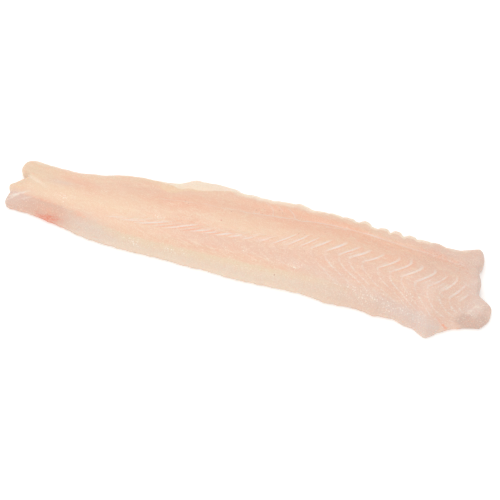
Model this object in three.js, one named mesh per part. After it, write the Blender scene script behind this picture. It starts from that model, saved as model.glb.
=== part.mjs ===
// A skinless fillet from the side of a small shark, as it comes off the knife: one solid.
// It lies on the side the skin came off, with the tail end at -X, the head end at +X, the belly at -Y and the
// back at +Y. Millimetres, +Z up, origin on the table under the middle of the fillet's outline.
import * as THREE from 'three';

// ---- Driving dimensions, mm ----
const TAIL_X = -215; // furthest point of the tail cut
const HEAD_X = 215; // furthest point of the head cut

// Four lines run the whole length of the fillet. Each is a smooth curve through [x, y] points.
const BELLY_EDGE = [
  [-215, -24.5], [-182, -25.2], [-155, -29.6], [-126, -35.7], [-98, -37.5], [-50, -38.4], [10, -39.6],
  [60, -38.8], [82, -39.6], [118, -40.8], [140, -41], [154, -44.4], [165.5, -50.8], [173, -48], [182, -41.4],
  [192, -35], [201, -30.6], [216, -27],
];
const FOLD_LINE = [ // where each muscle sheet folds back on itself, its tip towards the tail
  [-215, -14], [-165, -17], [-130, -18.4], [-100, -19.2], [-70, -18], [-40, -15], [-10, -12.6],
  [20, -9.8], [45, -6.8], [65, -3.8], [90, -3], [119, -5.8], [145, -8.2], [175, -11.8], [200, -14.5],
  [215, -17],
];
const SEPTUM_LINE = [ // the thin white line between the back strip and the loin
  [-215, 9.4], [-196, 8.6], [-176, 8.6], [-147, 10.6], [-108, 14.4], [-64, 18], [-15, 23.6],
  [27, 26.8], [71, 29.7], [100, 29.6], [134, 26.8], [158, 23], [180, 21], [215, 20],
];
const BACK_EDGE = [
  [-215, 34.4], [-191, 33], [-172, 31.6], [-150, 32.8], [-124, 39.6], [-105, 42.1], [-88, 41.8],
  [-70, 44.2], [-57, 51.4], [-44, 53.2], [-26, 52.2], [-7, 49.8], [20, 51.6], [38, 52.6],
  [66, 50.2], [92, 47.4], [119, 45.4], [145, 45.2], [176, 44], [188, 46.8], [198, 51], [215, 51],
];

// Rounded ends of the muscle blocks along the back edge: [x, rise, half width].
const SCALLOPS = [
  [-18, 0.7, 6], [-3, 1.2, 6], [9, 0.6, 5], [22, 1, 6], [38, 1.4, 7], [53, 0.9, 5], [69, 0.8, 6], [84, 2, 5],
  [97, 3.9, 6], [113, 3.3, 6], [126.5, 3.9, 6], [138, 2.2, 5.5], [150, 0.9, 5], [161, 0.7, 5],
];

// The two cuts, as [share of the width from the belly edge, x]. The tail cut has three lobes.
const TAIL_CUT = [
  [0, -205], [0.03, -209.3], [0.08, -211.2], [0.15, -211.4], [0.21, -211.4], [0.25, -212.4], [0.29, -213.6],
  [0.34, -215], [0.39, -213.2], [0.43, -210.4], [0.465, -207], [0.5, -204], [0.55, -203], [0.59, -204.4],
  [0.63, -209], [0.68, -212.2], [0.75, -213.8], [0.84, -213.6], [0.91, -212], [0.97, -209.6], [1, -206],
];
const HEAD_CUT = [
  [0, 208.4], [0.05, 212.2], [0.1, 214.4], [0.16, 215], [0.22, 214.4], [0.253, 213.4], [0.277, 209.6],
  [0.3, 205], [0.33, 203], [0.4, 203], [0.46, 203], [0.52, 201.8], [0.57, 200.4], [0.63, 199.6],
  [0.67, 200], [0.73, 201.8], [0.8, 202], [0.87, 201], [0.94, 199.4], [1, 196],
];

// Height of the crown along the length, and the shape across it as shares of the crown's height.
const CROWN = [
  [-215, 13.5], [-160, 18], [-90, 21], [0, 22.5], [80, 21.5], [140, 18.5], [185, 15], [215, 12.5],
];
const ACROSS = [[0, 0.72], [0.15, 0.84], [0.38, 1], [0.58, 0.95], [0.76, 0.72], [0.86, 0.66], [1, 0.42]];
const FLAP_THINNING = 0.62; // how much of the height the belly flap loses at the head end
const FLAP_X = [105, 185]; // where the thinning starts and is full
const FLAP_SHARE = 0.5; // share of the width that the flap takes

// Rounding of the rim: how far in from each edge the surface climbs to its full height.
const SHOULDER = 14; // belly side
const BACK_ROUND = 6;
const TAIL_ROUND = 6;
const HEAD_ROUND = 5;
const RIM_TOP = 3.6; // top of the thin upright wall along both long edges
const TAIL_CUT_SHARE = 0.12; // share of the height above that wall which the upright face of the cut keeps
const HEAD_CUT_SHARE = 0.35;
const RIM_BOTTOM = 2.2; // bottom of that wall, where the underside starts to curve in to the table
const UNDER_ROUND = 5;

// The valleys between the tail lobes.
const TAIL_VALLEYS = [ // [share of the width, depth, half width, length, drift of that share over the length]
  [0.595, 2.4, 4, 46, -0.14],
  [0.235, 1.4, 3, 32, 0.02],
];

// Muscle sheets.
const SHEET_XS = [ // where each sheet crosses the fold line
  -131, -115, -100.5, -86, -73, -61, -49.5, -38.5, -28, -17.5, -6.5, 5.5, 18.5, 30, 41.5, 52, 62.5,
  74.5, 86, 95, 106, 119, 129.5, 139.5, 151, 161.5, 172, 180.5, 188, 195.5, 202,
];
const FADE_IN_SHEETS = 4; // the first sheets show less and less towards the tail
const STROKE_REACH = 0.45; // share of the way to the septum line at which a sheet turns back
const STROKE_SWEEP = [ // how far a sheet runs towards the head on the loin, for each mm across
  [-131, 4.2], [-100, 3.8], [-80, 3.1], [-55, 2.7], [-28, 2.5], [-5, 2.1], [15, 1.6], [34, 1.1],
  [60, 0.95], [105, 0.95], [150, 0.85], [175, 0.65], [205, 0.55],
];
const STROKE_CURVE = 1.35; // 1 for straight strokes, 2 for strokes that bend evenly all the way
const BELLY_SWEEP = 26; // the belly arm of a sheet bends twice and ends this far towards the head
const BELLY_REACH = 0.9; // share of the way from the fold line to the belly edge over which it does so
const TURN_BACK = 0.15; // share of its sweep that a sheet loses again up to the septum line
const STRIP_LEAN = 0.55; // lean of a sheet towards the tail in the back strip
const TAIL_STRAIGHT = [0.01, 0.21]; // shares of the length over which the sheets straighten towards the cuts
const HEAD_STRAIGHT = [0.865, 0.995];

// Each muscle block ends in a low step at its sheet: its height, and the lines between which it grows.
const LOIN_STEP = 0.7;
const LOIN_STEP_LINES = [0.9, 1.08];
const LOIN_STEP_END = [1.2, 1.48]; // it is gone again where the sheet turns back
const BELLY_STEP = 0.25;
const BELLY_STEP_LINES = [0.3, 0.7];
const BELLY_STEP_TAIL_SHARE = 0.25; // the belly arm's step is lower on the tail half
const BELLY_STEP_X = [-20, 110];
const STRIP_STEP = 0.2;
const STRIP_STEP_LINES = [2, 2.3];

const SEPTUM_DEPTH = 0.9; // the valley along the septum line
const SEPTUM_HALF_WIDTH = 2.2;
const SEPTUM_X = [-70, 20]; // where it starts and is full

// How fine the facets are.
const SHEET_STEPS = [0, 0.14, 0.45, 0.78]; // lines in each muscle block, as shares of its length
const STEP_PROFILE = [0.5, -0.5, -0.18, 0.18]; // height of the step on those lines, as shares of the step
const PLAIN_SPACING = 5.5; // between lines where no sheet shows
const TAIL_LINES = 5;
const HEAD_LINES = 5;
const BELLY_LINES = 6; // over the shoulder
const BELLY_ARM_LINES = 5; // from the shoulder to the fold line
const LOIN_LINES = 10; // from the fold line to the septum line
const STRIP_LINES = 6; // in the back strip, to where the rim rounds down
const BACK_LINES = 4; // round the back rim
const UNDER_STEPS = [0, 0.3, 1]; // down the wall and round under it, as shares of the curve's width
const BASE_POINTS = 15; // down the middle of the base
const BASE_START = 0.07; // share of the length from either cut to the first of them
const BASE_LINE = 1.6; // the line they lie on
const SHOULDER_LINE_MAX = 0.9; // the lines over the shoulder stop short of the fold line
const LAST_LINE_GAP = 0.004; // smallest share of the length between the last sheet line and the head rim

// ---- Helpers ----

const clamp01 = (t) => Math.min(1, Math.max(0, t));
const mix = (a, b, t) => a + (b - a) * t;
const smooth = (t) => {
  const s = clamp01(t);
  return s * s * (3 - 2 * s);
};

// 0 before `from`, 1 after `to`.
const ramp = (t, [from, to]) => smooth((t - from) / (to - from));

// Smooth curve through [t, value] points: a cubic between each two, flat outside them.
function through(points) {
  const slope = points.map((p, i) => {
    const a = points[Math.max(0, i - 1)];
    const b = points[Math.min(points.length - 1, i + 1)];
    return (b[1] - a[1]) / (b[0] - a[0]);
  });
  return (t) => {
    if (t <= points[0][0]) return points[0][1];
    if (t >= points.at(-1)[0]) return points.at(-1)[1];
    const i = points.findIndex((p) => p[0] > t) - 1;
    const [t0, a] = points[i];
    const [t1, b] = points[i + 1];
    const span = t1 - t0;
    const s = (t - t0) / span;
    const s2 = s * s;
    const s3 = s2 * s;
    return (
      (2 * s3 - 3 * s2 + 1) * a +
      (s3 - 2 * s2 + s) * span * slope[i] +
      (3 * s2 - 2 * s3) * b +
      (s3 - s2) * span * slope[i + 1]
    );
  };
}

// Quarter of an ellipse: 0 at an edge, 1 from `radius` inwards.
const rounding = (distance, radius) => Math.sqrt(1 - (1 - clamp01(distance / radius)) ** 2);

// ---- Outline ----

const bellyEdge = through(BELLY_EDGE);
const foldLine = through(FOLD_LINE);
const septumLine = through(SEPTUM_LINE);
const plainBackEdge = through(BACK_EDGE);
const tailCut = through(TAIL_CUT);
const headCut = through(HEAD_CUT);

function backEdge(x) {
  let y = plainBackEdge(x);
  for (const [at, rise, halfWidth] of SCALLOPS) {
    y += rise * rounding(1 - Math.abs(x - at) / halfWidth, 1);
  }
  return y;
}

// `line` counts the four long lines: 0 the belly edge, 1 the fold line, 2 the septum line, 3 the back edge.
function acrossAt(x, line) {
  const lines = [bellyEdge, foldLine, septumLine, backEdge];
  const i = Math.min(2, Math.floor(line));
  return mix(lines[i](x), lines[i + 1](x), line - i);
}

// ---- Muscle sheets ----

const strokeSweep = through(STROKE_SWEEP);

// How far towards the head a sheet that folds at `x` has run by the time it reaches `line`.
function sweep(x, line) {
  if (line < 1) return BELLY_SWEEP * smooth((1 - line) / BELLY_REACH);
  const loinWidth = septumLine(x) - foldLine(x);
  const reach = strokeSweep(x) * loinWidth * STROKE_REACH;
  const t = clamp01(line - 1);
  const out = 1 - (1 - Math.min(1, t / STROKE_REACH)) ** STROKE_CURVE;
  const back = TURN_BACK * smooth((t - STROKE_REACH) / (1 - STROKE_REACH));
  const lean = line > 2 ? STRIP_LEAN * (acrossAt(x, line) - septumLine(x)) : 0;
  return reach * (out - back) - lean;
}

// Share of the sweep that is left at `u`.
const sweepShare = (u) => ramp(u, TAIL_STRAIGHT) * (1 - ramp(u, HEAD_STRAIGHT));

// ---- The surface ----

const crown = through(CROWN);
const acrossShape = through(ACROSS);

// Depth of the valleys that run in from the notches of the tail cut.
function tailValleys(x, share, width) {
  let depth = 0;
  for (const [at, deep, halfWidth, length, drift] of TAIL_VALLEYS) {
    const along = clamp01((x - TAIL_X) / length);
    const off = ((share - at - drift * along) * width) / halfWidth;
    depth += deep * (1 - smooth(along)) * Math.exp(-off * off);
  }
  return depth;
}

// One grid point, `u` from the tail cut to the head cut and `line` from the belly edge to the back edge.
function planPoint(u, line) {
  const nearTail = acrossAt(TAIL_X, line);
  const nearHead = acrossAt(HEAD_X, line);
  const tailShare = (nearTail - bellyEdge(TAIL_X)) / (backEdge(TAIL_X) - bellyEdge(TAIL_X));
  const headShare = (nearHead - bellyEdge(HEAD_X)) / (backEdge(HEAD_X) - bellyEdge(HEAD_X));
  const straight = mix(tailCut(tailShare), headCut(headShare), u);
  const x = straight + sweep(straight, line) * sweepShare(u);
  return [x, acrossAt(x, line)];
}

function topHeight(u, line, step) {
  const [x, y] = planPoint(u, line);
  const belly = bellyEdge(x);
  const width = backEdge(x) - belly;
  const share = clamp01((y - belly) / width);
  let height = crown(x) * acrossShape(share);
  const flap = ramp(x, FLAP_X) * (1 - ramp(share, [0, FLAP_SHARE]));
  height *= 1 - FLAP_THINNING * flap;
  height -= tailValleys(x, share, width);
  const offSeptum = (y - septumLine(x)) / SEPTUM_HALF_WIDTH;
  height -= SEPTUM_DEPTH * ramp(x, SEPTUM_X) * Math.exp(-offSeptum * offSeptum);
  height += step * stepSize(x, line);
  const length = HEAD_X - TAIL_X;
  const edges = rounding(y - belly, SHOULDER) * rounding(belly + width - y, BACK_ROUND);
  const atTail = mix(TAIL_CUT_SHARE, 1, rounding(u * length, TAIL_ROUND));
  const atHead = mix(HEAD_CUT_SHARE, 1, rounding((1 - u) * length, HEAD_ROUND));
  return mix(RIM_TOP, height, edges * atTail * atHead);
}

// Size of the step at a muscle sheet: full on the loin, less on the belly arm and in the back strip.
function stepSize(x, line) {
  const bellyShare = mix(BELLY_STEP_TAIL_SHARE, 1, ramp(x, BELLY_STEP_X));
  const onBelly = BELLY_STEP * bellyShare * ramp(line, BELLY_STEP_LINES) * (1 - ramp(line, [1, 2]));
  const onLoin = LOIN_STEP * ramp(line, LOIN_STEP_LINES) * (1 - ramp(line, LOIN_STEP_END));
  const onStrip = STRIP_STEP * ramp(line, STRIP_STEP_LINES);
  return Math.max(onBelly, onLoin, onStrip);
}

// ---- The grid ----

// Places along the length, each with the height of the muscle step there.
function stations() {
  const length = HEAD_X - TAIL_X;
  const list = [];
  for (let i = 0; i < TAIL_LINES; i += 1) {
    const arc = (i / TAIL_LINES) * (Math.PI / 2);
    list.push({ u: ((1 - Math.cos(arc)) * TAIL_ROUND) / length, step: 0 });
  }
  const firstSheet = (SHEET_XS[0] - TAIL_X) / length;
  const tailRounded = TAIL_ROUND / length;
  const plain = Math.round(((firstSheet - tailRounded) * length) / PLAIN_SPACING);
  for (let i = 0; i < plain; i += 1) list.push({ u: mix(tailRounded, firstSheet, i / plain), step: 0 });
  const headRounded = 1 - HEAD_ROUND / length;
  SHEET_XS.slice(0, -1).forEach((x, k) => {
    const next = SHEET_XS[k + 1];
    SHEET_STEPS.forEach((share, i) => {
      const u = (mix(x, next, share) - TAIL_X) / length;
      const fade = smooth((k + 1) / FADE_IN_SHEETS);
      if (u < headRounded - LAST_LINE_GAP) list.push({ u, step: STEP_PROFILE[i] * fade });
    });
  });
  for (let i = HEAD_LINES; i >= 0; i -= 1) {
    const arc = (i / HEAD_LINES) * (Math.PI / 2);
    list.push({ u: 1 - ((1 - Math.cos(arc)) * HEAD_ROUND) / length, step: 0 });
  }
  return list;
}

// Places across the top, as values of `line`, closer together where the rim rounds down.
function topLines(x) {
  const list = [];
  const shoulderLine = Math.min(SHOULDER_LINE_MAX, SHOULDER / (foldLine(x) - bellyEdge(x)));
  for (let i = 0; i < BELLY_LINES; i += 1) {
    list.push(shoulderLine * (1 - Math.cos(((i / BELLY_LINES) * Math.PI) / 2)));
  }
  for (let i = 0; i < BELLY_ARM_LINES; i += 1) list.push(mix(shoulderLine, 1, i / BELLY_ARM_LINES));
  for (let i = 0; i < LOIN_LINES; i += 1) list.push(1 + i / LOIN_LINES);
  const backLine = 3 - BACK_ROUND / (backEdge(x) - septumLine(x));
  for (let i = 0; i < STRIP_LINES; i += 1) list.push(mix(2, backLine, i / STRIP_LINES));
  for (let i = BACK_LINES; i >= 0; i -= 1) {
    list.push(3 - (3 - backLine) * (1 - Math.cos(((i / BACK_LINES) * Math.PI) / 2)));
  }
  return list;
}

// The place in plan of a rim point after the whole outline is drawn in by `inset`.
function insetPoint({ u, line }, inset) {
  const length = HEAD_X - TAIL_X;
  const x = mix(TAIL_X, HEAD_X, u);
  const atBelly = inset / (foldLine(x) - bellyEdge(x));
  const atBack = 3 - inset / (backEdge(x) - septumLine(x));
  return planPoint(mix(inset / length, 1 - inset / length, u), mix(atBelly, atBack, line / 3));
}

// The top is a grid of stations and lines. From its rim the wall goes down and curves in to the flat base.
function filletGeometry() {
  const positions = [];
  const index = [];
  const add = ([x, y], height) => positions.push(x, y, height) / 3 - 1;
  const quad = (a, b, c, d) => index.push(a, b, c, a, c, d);

  const grid = stations().map(({ u, step }) => {
    const lines = topLines(mix(TAIL_X, HEAD_X, u));
    return lines.map((line) => ({ u, line, vertex: add(planPoint(u, line), topHeight(u, line, step)) }));
  });
  for (let i = 0; i + 1 < grid.length; i += 1) {
    for (let j = 0; j + 1 < grid[i].length; j += 1) {
      quad(...[grid[i][j], grid[i + 1][j], grid[i + 1][j + 1], grid[i][j + 1]].map((p) => p.vertex));
    }
  }

  // The rim, once round: the belly edge, the head cut, the back edge and the tail cut.
  const rim = [
    ...grid.slice(0, -1).map((row) => row[0]),
    ...grid.at(-1).slice(0, -1),
    ...grid.slice(1).reverse().map((row) => row.at(-1)),
    ...grid[0].slice(1).reverse(),
  ];
  let upper = rim.map((p) => p.vertex);
  for (const share of UNDER_STEPS) {
    const height = RIM_BOTTOM * (1 - rounding(share, 1));
    const lower = rim.map((p) => add(insetPoint(p, share * UNDER_ROUND), height));
    upper.forEach((vertex, i) => {
      const k = (i + 1) % rim.length;
      quad(vertex, lower[i], lower[k], upper[k]);
    });
    upper = lower;
  }

  // The base: its edge is joined to a row of points down the middle.
  const middleRow = [];
  for (let k = 0; k < BASE_POINTS; k += 1) {
    middleRow.push(add(planPoint(mix(BASE_START, 1 - BASE_START, k / (BASE_POINTS - 1)), BASE_LINE), 0));
  }
  const nearest = rim.map(({ u }) => {
    const along = clamp01((u - BASE_START) / (1 - 2 * BASE_START));
    return middleRow[Math.round(along * (BASE_POINTS - 1))];
  });
  upper.forEach((vertex, i) => {
    const k = (i + 1) % rim.length;
    index.push(vertex, nearest[i], upper[k]);
    if (nearest[i] !== nearest[k]) index.push(upper[k], nearest[i], nearest[k]);
  });

  const geometry = new THREE.BufferGeometry();
  geometry.setAttribute('position', new THREE.Float32BufferAttribute(positions, 3));
  geometry.setIndex(index);
  geometry.computeBoundingBox();
  const middle = geometry.boundingBox.getCenter(new THREE.Vector3());
  geometry.translate(-middle.x, -middle.y, 0);
  geometry.computeVertexNormals();
  return geometry;
}

const flesh = new THREE.MeshStandardMaterial({ color: 0xf0cdb2, roughness: 0.35, metalness: 0 });
const fillet = new THREE.Mesh(filletGeometry(), flesh);
fillet.name = 'fillet';

const part = new THREE.Group();
part.name = 'shark_fillet';
part.add(fillet);

export default part;
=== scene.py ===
import math
import random

import bmesh
import bpy
import numpy as np
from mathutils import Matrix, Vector, noise


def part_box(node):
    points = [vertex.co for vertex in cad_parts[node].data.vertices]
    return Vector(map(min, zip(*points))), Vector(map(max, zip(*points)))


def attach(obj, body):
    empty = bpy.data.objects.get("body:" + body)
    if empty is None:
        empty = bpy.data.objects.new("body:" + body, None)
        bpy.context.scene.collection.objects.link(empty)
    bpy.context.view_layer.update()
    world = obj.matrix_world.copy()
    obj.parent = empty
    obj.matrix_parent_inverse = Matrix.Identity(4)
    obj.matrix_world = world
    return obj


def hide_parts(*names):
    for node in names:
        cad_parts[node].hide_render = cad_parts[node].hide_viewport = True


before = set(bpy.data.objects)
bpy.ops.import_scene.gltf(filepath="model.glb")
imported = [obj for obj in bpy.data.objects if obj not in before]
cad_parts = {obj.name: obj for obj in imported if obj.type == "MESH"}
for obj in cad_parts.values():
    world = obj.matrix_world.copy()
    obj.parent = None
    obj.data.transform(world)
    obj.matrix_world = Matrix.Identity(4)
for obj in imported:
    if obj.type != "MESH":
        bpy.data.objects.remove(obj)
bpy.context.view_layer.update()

# ---- The trimmed outline ---------------------------------------------------------------------------
# One whole side of a small shark, skinned and laid with the cut face up. The knife leaves a long belly
# edge with a torn point, a back edge that follows the round ends of the muscles, and two ragged cuts.
# Plan sizes are in millimetres, tail towards -X and back towards +Y, until the mesh is placed.

# Each line is [x, y] down the length.
BELLY_EDGE = [
    [-215, -22.5], [-192, -22.8], [-182, -23.8], [-170, -26], [-151, -29.4], [-138, -32.6], [-125, -34.6],
    [-112, -35.6], [-90, -36.3], [-60, -36.1], [-35, -37.2], [-22, -36.8], [0, -38.2], [20, -37.9],
    [48, -36.8], [65, -36.6], [75, -38], [83, -39.3], [91, -39], [104, -38], [112, -38.2], [123, -40.3],
    [132, -39.5], [141, -39.3], [147.5, -42], [156, -43.2], [162, -46.2], [167.7, -49.1], [172, -46.8],
    [177, -41.8], [184.7, -36.4], [194, -32], [202.8, -29.2], [208, -28], [216, -26],
]
FOLD_LINE = [  # where each muscle sheet folds back on itself
    [-215, -14], [-165, -17], [-130, -18.4], [-100, -19.2], [-70, -18], [-40, -15], [-10, -12.6],
    [20, -9.8], [45, -6.8], [65, -3.8], [90, -3], [119, -5.8], [145, -8.2], [175, -11.8], [200, -14.5],
    [215, -17],
]
SEPTUM_LINE = [  # the thin white thread between the loin and the back strip
    [-215, 9.4], [-176, 8.6], [-147, 9.5], [-108, 11], [-77, 12], [-48, 15], [-16, 18.2], [7, 21.3],
    [27, 24], [51, 27.5], [71, 30], [100, 30], [134, 28], [158, 26], [180, 24], [198, 22.6], [215, 22],
]
BACK_EDGE = [
    [-215, 35.6], [-191, 32.8], [-172, 31.8], [-158, 31.6], [-149, 33.4], [-139, 34.6], [-124, 39.2],
    [-105, 42.1], [-88, 42.8], [-70, 45.4], [-57, 53], [-48, 52.9], [-38, 53.8], [-26, 52.8], [-7, 49.8],
    [20, 50.2], [38, 52], [51, 49.3], [66, 49.8], [92, 47.9], [119, 44.9], [145, 44.7], [158, 45.1],
    [176, 43.5], [188, 46.4], [198, 51], [215, 51],
]
SCALLOPS = [  # round ends of the muscle blocks along the back edge: [x, rise, half width]
    [-22, 1, 6], [-2, 1.6, 6], [9, 0.6, 5], [24, 0.7, 7], [42.2, 1.9, 6.8], [58, 1.2, 5.5], [71, 1.7, 5.5],
    [83.5, 2.1, 5.2], [98.4, 4, 5], [114.6, 3.4, 4.8], [126, 3.8, 4.6], [138.6, 2.6, 4.4],
    [150, 0.8, 4.6], [161, 0.7, 4.6],
]

# Waves along the trimmed edges: their lengths, their height for that length, and where each edge starts.
RAGGED_WAVES = (4.3, 6.1, 9.7, 13.9)
RAGGED_HEIGHT = 0.013
BELLY_RAGGED = 1.3
BACK_RAGGED = 2.1

# The two cuts, as [share of the width from the belly edge, x].
TAIL_CUT = [
    [0, -206], [0.03, -210.6], [0.08, -212], [0.15, -211.6], [0.21, -211.4], [0.25, -212.4],
    [0.29, -213.8], [0.33, -214.8], [0.38, -212.6], [0.42, -209.6], [0.46, -206.4], [0.5, -203.8],
    [0.55, -203], [0.59, -204.4], [0.63, -209], [0.68, -212.2], [0.75, -213.8], [0.84, -213.6],
    [0.91, -212], [0.97, -209.6], [1, -206],
]
HEAD_CUT = [
    [0, 208.4], [0.05, 212.6], [0.1, 214.6], [0.15, 215], [0.2, 215], [0.232, 213.8], [0.255, 209.8],
    [0.28, 205], [0.305, 203.2], [0.33, 203], [0.4, 203], [0.46, 203], [0.52, 201.8], [0.57, 200.4],
    [0.63, 199.6], [0.67, 200], [0.73, 201.8], [0.8, 202], [0.87, 201], [0.94, 199.4], [1, 196],
]


def through(points):
    """Smooth curve through [t, value] points: a cubic between each two, flat outside them."""
    t, value = np.array(points, float).T
    here = np.arange(len(t))
    before = np.maximum(here - 1, 0)
    after = np.minimum(here + 1, len(t) - 1)
    slope = (value[after] - value[before]) / (t[after] - t[before])

    def at(place):
        place = np.clip(place, t[0], t[-1])
        i = np.clip(np.searchsorted(t, place, side="right") - 1, 0, len(t) - 2)
        gap = t[i + 1] - t[i]
        s = (place - t[i]) / gap
        return (
            (2 * s**3 - 3 * s**2 + 1) * value[i]
            + (s**3 - 2 * s**2 + s) * gap * slope[i]
            + (3 * s**2 - 2 * s**3) * value[i + 1]
            + (s**3 - s**2) * gap * slope[i + 1]
        )

    return at


def mix(a, b, t):
    return a + (b - a) * t


def rounding(distance, radius):
    """Quarter of an ellipse: 0 at an edge, 1 from `radius` inwards."""
    return np.sqrt(1 - (1 - np.clip(distance / radius, 0, 1)) ** 2)


trimmed_belly = through(BELLY_EDGE)
fold_line = through(FOLD_LINE)
septum_line = through(SEPTUM_LINE)
plain_back_edge = through(BACK_EDGE)
tail_cut = through(TAIL_CUT)
head_cut = through(HEAD_CUT)


def ragged(x, start):
    """Small unevenness that the knife leaves along an edge, in mm."""
    waves = [np.sin(x * 2 * math.pi / long + start * long) * long for long in RAGGED_WAVES]
    return sum(waves) * RAGGED_HEIGHT


def belly_edge(x):
    return trimmed_belly(x) + ragged(x, BELLY_RAGGED)


def back_edge(x):
    y = plain_back_edge(x) + ragged(x, BACK_RAGGED)
    for at, rise, half_width in SCALLOPS:
        y = y + rise * rounding(1 - np.abs(x - at) / half_width, 1)
    return y


def across_at(x, line):
    """y at `line`: 0 is the belly edge, 1 the fold line, 2 the septum line and 3 the back edge."""
    belly, fold, septum, back = belly_edge(x), fold_line(x), septum_line(x), back_edge(x)
    near = mix(belly, fold, line)
    middle = mix(fold, septum, line - 1)
    far = mix(septum, back, line - 2)
    return np.where(line < 1, near, np.where(line < 2, middle, far))


# ---- The muscle sheets -----------------------------------------------------------------------------
# The flesh is built of short blocks, each parted from the next by a thin white sheet. In the cut face
# a sheet shows as a chevron whose tip points to the tail, and each block ends in a low step there.

TAIL_X = -215
HEAD_X = 215
SHEET_XS = [  # where the sheets cross the fold line
    -131, -115, -100.5, -86, -73, -61, -49.5, -38.5, -28, -17.5, -6.5, 5.5, 18.5, 30, 41.5, 52, 62.5,
    74.5, 86, 95, 106, 119, 129.5, 139.5, 151, 161.5, 172, 180.5, 188, 195.5, 202,
]
STROKE_REACH = 0.45  # share of the way to the septum line at which a sheet turns back to the tail
STROKE_SWEEP = [  # how far a sheet runs towards the head on the loin, for each mm across
    [-131, 4.2], [-100, 3.8], [-80, 3.1], [-55, 2.7], [-28, 2.5], [-5, 2.1], [15, 1.6], [34, 1.1],
    [60, 0.95], [105, 0.95], [150, 0.85], [175, 0.65], [205, 0.55],
]
STROKE_CURVE = 1.35  # 1 for straight strokes, 2 for strokes that bend evenly all the way
BELLY_SWEEP = [  # how far towards the head the belly arm of a sheet ends: [x, mm]
    [-215, 26], [30, 26], [70, 36], [100, 42], [125, 41], [150, 33], [172, 26], [215, 24],
]
BELLY_BEND = (0.08, 0.98)  # shares of the way from the fold line to the belly edge where it bends
TURN_BACK = 0.15  # share of its sweep that a sheet loses again up to the septum line
STRIP_LEAN = 0.55  # lean towards the tail in the back strip
SWEPT = (0.01, 0.21, 0.865, 0.995)  # shares of the length between which the mesh follows the sheets
SOLVE_STEPS = 25  # steps of the search for a sheet, and how much of the way each one goes
SOLVE_SHARE = 0.7

stroke_sweep = through(STROKE_SWEEP)
belly_sweep = through(BELLY_SWEEP)


def ramp(t, start, end):
    """0 before `start`, 1 after `end`, smooth between."""
    s = np.clip((t - start) / (end - start), 0, 1)
    return s * s * (3 - 2 * s)


def span(t, start, full, fading, end):
    """1 from `full` to `fading`, 0 before `start` and after `end`, smooth between."""
    return ramp(t, start, full) * (1 - ramp(t, fading, end))


def sweep(x, line):
    """How far towards the head a sheet that folds at `x` has run by the time it reaches `line`."""
    reach = stroke_sweep(x) * (septum_line(x) - fold_line(x)) * STROKE_REACH
    t = np.clip(line - 1, 0, 1)
    out = 1 - (1 - np.minimum(1, t / STROKE_REACH)) ** STROKE_CURVE
    back = TURN_BACK * ramp(t, STROKE_REACH, 1)
    lean = np.where(line > 2, STRIP_LEAN * (across_at(x, line) - septum_line(x)), 0)
    on_belly = belly_sweep(x) * ramp(1 - line, *BELLY_BEND)
    return np.where(line < 1, on_belly, reach * (out - back) - lean)


def share_of_cut(x, line):
    return (across_at(x, line) - belly_edge(x)) / (back_edge(x) - belly_edge(x))


def plan_point(u, line):
    """Place in plan, `u` from the tail cut to the head cut and `line` from the belly edge to the back."""
    straight = mix(tail_cut(share_of_cut(TAIL_X, line)), head_cut(share_of_cut(HEAD_X, line)), u)
    x = straight + sweep(straight, line) * span(u, *SWEPT)
    return x, across_at(x, line)


def fold_of(x, line):
    """Where the sheet that passes through a place crosses the fold line."""
    fold = x
    for _ in range(SOLVE_STEPS):
        fold = mix(fold, x - sweep(fold, line), SOLVE_SHARE)
    return fold


# ---- The mesh of the cut face ----------------------------------------------------------------------
# The knife lays the whole cut face bare as one soft surface that rounds down at the rim. Its grid's
# columns lie along the muscle sheets, closer together beside each, and its rows along the long lines,
# closer together at the rim.

LENGTH = HEAD_X - TAIL_X
TAIL_ROUND = 6  # how far in from each edge the surface climbs to its full height
HEAD_ROUND = 5
SHOULDER = 14
BACK_ROUND = 6
SHOULDER_MOST = 0.9  # most of the way to the fold line that the shoulder may take
BLOCK_STEPS = [  # shares of a block at which its columns lie
    0, 0.03, 0.06, 0.1, 0.15, 0.21, 0.28, 0.35, 0.42, 0.49, 0.56, 0.63, 0.7, 0.77, 0.83, 0.89, 0.94,
    0.975,
]
TAIL_COLUMNS = 14
PLAIN_COLUMNS = 92
HEAD_COLUMNS = 10
HEAD_GAP = 1  # least room left between the last block's columns and these
SHOULDER_ROWS = 22
BELLY_ROWS = 20
LOIN_ROWS = 44
STRIP_ROWS = 22
BACK_ROWS = 10


def arc_steps(count):
    """`count` steps from 0 to 1, spaced as even steps round a quarter circle are, closest at 0."""
    return 1 - np.cos(np.arange(count + 1) / count * math.pi / 2)


plain_columns = np.linspace(TAIL_ROUND, SHEET_XS[0] - TAIL_X, PLAIN_COLUMNS, endpoint=False)
block_columns = [
    mix(start, end, share) - TAIL_X for start, end in zip(SHEET_XS, SHEET_XS[1:]) for share in BLOCK_STEPS
]
column_u = np.concatenate([
    arc_steps(TAIL_COLUMNS)[:-1] * TAIL_ROUND,
    plain_columns,
    [x for x in block_columns if x < LENGTH - HEAD_ROUND - HEAD_GAP],
    LENGTH - arc_steps(HEAD_COLUMNS)[::-1] * HEAD_ROUND,
]) / LENGTH

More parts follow.
